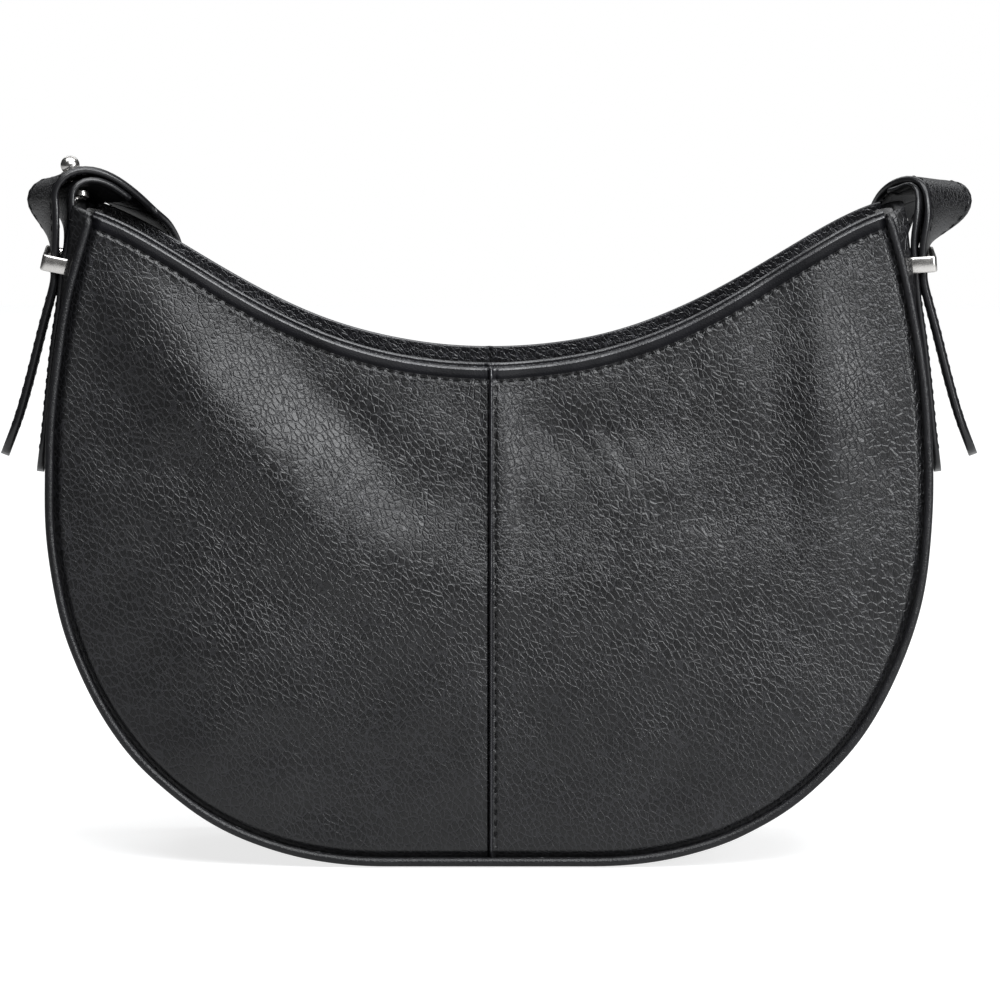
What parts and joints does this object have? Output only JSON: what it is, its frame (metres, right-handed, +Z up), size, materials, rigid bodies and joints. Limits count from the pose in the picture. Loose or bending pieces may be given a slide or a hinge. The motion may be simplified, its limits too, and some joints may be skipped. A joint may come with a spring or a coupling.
{
  "type": "hobo bag",
  "caption": "Small half-moon shoulder bag in pebbled black leather with piped edges, open mouth, belt-like strap ends in metal keepers and an inner zip pocket.",
  "frame": {"origin": "middle of the flat bottom, on the surface that the bag stands on", "axes": "+X across the bag to its right-hand end as seen from the front, -Y is the front, +Z is up"},
  "size_m": [0.276, 0.107, 0.197],
  "materials": {
    "pebbled_leather": "pebbled, soft sheen",
    "smooth_leather": "smooth, satin",
    "lining_cloth": "matt twill",
    "stiffener_board": "matt board",
    "polished_nickel": "polished",
    "zip_tape": "woven tape"
  },
  "bodies": {
    "bag": {"front_panel_left": "pebbled_leather", "front_panel_right": "pebbled_leather", "rear_panel_left": "pebbled_leather", "rear_panel_right": "pebbled_leather", "front_facing_left": "pebbled_leather", "front_facing_right": "pebbled_leather", "rear_facing_left": "pebbled_leather", "rear_facing_right": "pebbled_leather", "gusset": "pebbled_leather", "piping_front": "smooth_leather", "piping_rear": "smooth_leather", "strap_end_left": "smooth_leather", "strap_end_right": "smooth_leather", "strap_tab_left": "smooth_leather", "strap_tab_right": "smooth_leather", "lining_front": "lining_cloth", "lining_rear": "lining_cloth", "lining_gusset": "lining_cloth", "slip_pocket": "lining_cloth", "zip_pocket_pouch": "lining_cloth", "base_stiffener": "stiffener_board", "magnetic_snap_front": "polished_nickel", "magnetic_snap_rear": "polished_nickel", "zip_teeth": "polished_nickel", "zip_tape_upper": "zip_tape", "zip_tape_lower": "zip_tape"},
    "strap": {"shoulder_strap": "smooth_leather", "tab_loop_left": "smooth_leather", "tab_loop_right": "smooth_leather", "ball_stud_left": "polished_nickel", "ball_stud_right": "polished_nickel", "stud_screw_left": "polished_nickel", "stud_screw_right": "polished_nickel"},
    "tail_left": {"strap_tail_left": "smooth_leather"},
    "tail_right": {"strap_tail_right": "smooth_leather"},
    "keeper_left": {"keeper_left": "polished_nickel"},
    "keeper_right": {"keeper_right": "polished_nickel"},
    "zip_slider": {"zip_slider": "polished_nickel"},
    "zip_pull": {"zip_pull": "polished_nickel"}
  },
  "joints": [
    {"name": "strap_swing", "type": "hinge", "parent": "bag", "child": "strap", "pos_m": [0, 0, 0.19235], "axis": [1, 0, -0.0089], "range_deg": [0, 165]},
    {"name": "tail_left_flex", "type": "hinge", "parent": "bag", "child": "tail_left", "pos_m": [-0.1226, 0, 0.1618], "axis": [0, 1, 0], "range_deg": [-6, 40], "stiffness_Nm_per_rad": 0.012, "springref_deg": 0.8},
    {"name": "tail_right_flex", "type": "hinge", "parent": "bag", "child": "tail_right", "pos_m": [0.1226, 0, 0.1618], "axis": [0, -1, 0], "range_deg": [-6, 40], "stiffness_Nm_per_rad": 0.012, "springref_deg": 0.8},
    {"name": "keeper_left_slide", "type": "slide", "parent": "bag", "child": "keeper_left", "axis": [0, 0, 1], "range_m": [-0.0018, 0.0005]},
    {"name": "keeper_right_slide", "type": "slide", "parent": "bag", "child": "keeper_right", "axis": [0, 0, 1], "range_m": [-0.0018, 0.0005]},
    {"name": "zip_slide", "type": "slide", "parent": "bag", "child": "zip_slider", "axis": [1, 0, 0], "range_m": [0, 0.108]},
    {"name": "zip_pull_flip", "type": "hinge", "parent": "zip_slider", "child": "zip_pull", "pos_m": [-0.054, 0.01803, 0.088], "axis": [-1, 0, 0], "range_deg": [0, 150]}
  ]
}
